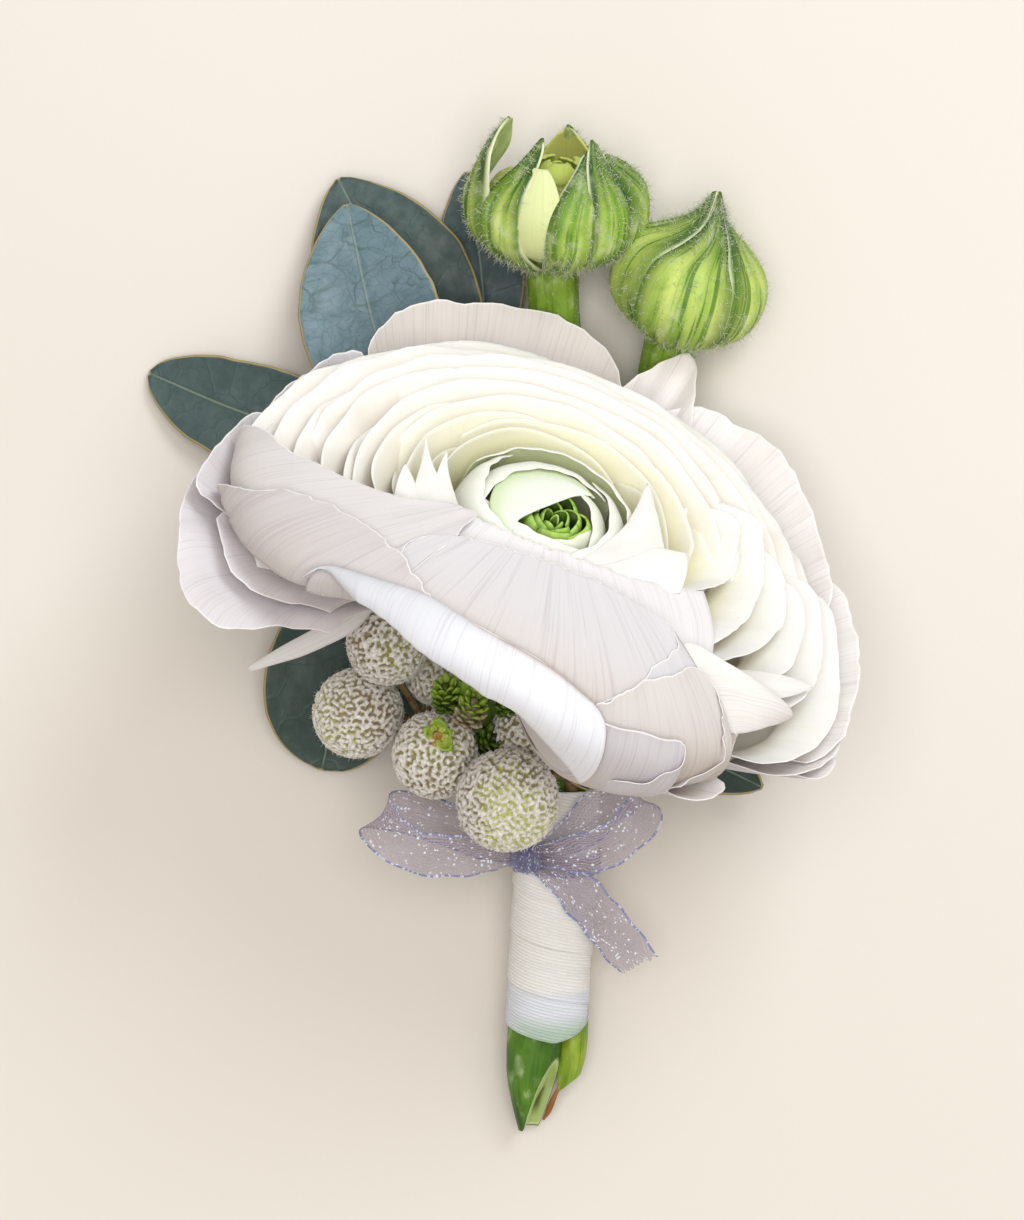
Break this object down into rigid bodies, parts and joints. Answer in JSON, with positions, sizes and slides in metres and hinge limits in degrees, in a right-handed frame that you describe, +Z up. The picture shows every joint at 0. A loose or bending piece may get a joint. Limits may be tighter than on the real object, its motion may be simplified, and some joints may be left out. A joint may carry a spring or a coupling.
{
  "type": "boutonniere",
  "caption": "Boutonniere of a white ranunculus with green buds, eucalyptus leaves and brunia heads, stems bound in ivory tape with an organza bow, lying on its back.",
  "frame": {"origin": "on the resting surface, under the middle of the bounding box", "axes": "+Z up from the surface it lies on; +Y along the bundle from the cut stems to the buds; +X to the right seen from above"},
  "size_m": [0.0916, 0.1314, 0.067],
  "materials": {
    "petal": "matte, softly translucent white petal with faint veins",
    "inner_petal": "matte, translucent white to warm yellow petal",
    "flower_eye": "matte green centre",
    "green_stem": "smooth fresh green stem",
    "sepal": "green sepal with pale veins and fine hairs",
    "bud_core": "pale yellow-green closed petals",
    "eucalyptus_leaf": "blue-green waxy leaf with a thin ochre edge",
    "twig": "thin olive-brown twig",
    "brunia": "silvery net of florets over olive pits",
    "organza": "sheer lilac-grey organza with silver threads",
    "crepe_tape": "ivory fine-ribbed crepe tape"
  },
  "bodies": {
    "root": {"back_petal_1": "petal", "back_petal_2": "petal", "back_petal_3": "petal", "back_petal_4": "petal", "brunia_head_1": "brunia", "brunia_head_2": "brunia", "brunia_head_3": "brunia", "brunia_head_4": "brunia", "brunia_head_5": "brunia", "brunia_head_6": "brunia", "brunia_stem": "twig", "bud_stem": "green_stem", "calyx": "sepal", "closed_bud_core": "bud_core", "closed_bud_sepal_1": "sepal", "closed_bud_sepal_2": "sepal", "closed_bud_sepal_3": "sepal", "closed_bud_sepal_4": "sepal", "eucalyptus_leaf_1": "eucalyptus_leaf", "eucalyptus_leaf_2": "eucalyptus_leaf", "eucalyptus_leaf_3": "eucalyptus_leaf", "eucalyptus_leaf_4": "eucalyptus_leaf", "eucalyptus_leaf_5": "eucalyptus_leaf", "eucalyptus_leaf_6": "eucalyptus_leaf", "eucalyptus_leaf_7": "eucalyptus_leaf", "eucalyptus_stem": "twig", "flower_eye": "flower_eye", "flower_stem": "green_stem", "front_big_petal": "petal", "front_folded_petal": "petal", "front_inner_petal": "petal", "front_left_inner_petal": "petal", "front_left_petal": "petal", "front_lower_petal": "petal", "front_right_petal": "petal", "front_side_petal": "petal", "guard_left_inner": "petal", "guard_left_outer": "petal", "guard_lower_right": "petal", "guard_right": "petal", "guard_right_upper": "petal", "guard_top": "petal", "guard_top_pointed": "petal", "guard_upper_left": "petal", "guard_upper_left_inner": "petal", "inner_whorl_1": "inner_petal", "inner_whorl_2": "inner_petal", "inner_whorl_3": "inner_petal", "inner_whorl_4": "inner_petal", "inner_whorl_5": "inner_petal", "opening_bud_core": "bud_core", "opening_bud_sepal_1": "sepal", "opening_bud_sepal_2": "sepal", "opening_bud_sepal_3": "sepal", "opening_bud_sepal_4": "sepal", "opening_bud_sepal_5": "sepal", "ribbon_bow": "organza", "rolled_petal": "petal", "stem_wrap": "crepe_tape"}
  },
  "joints": []
}
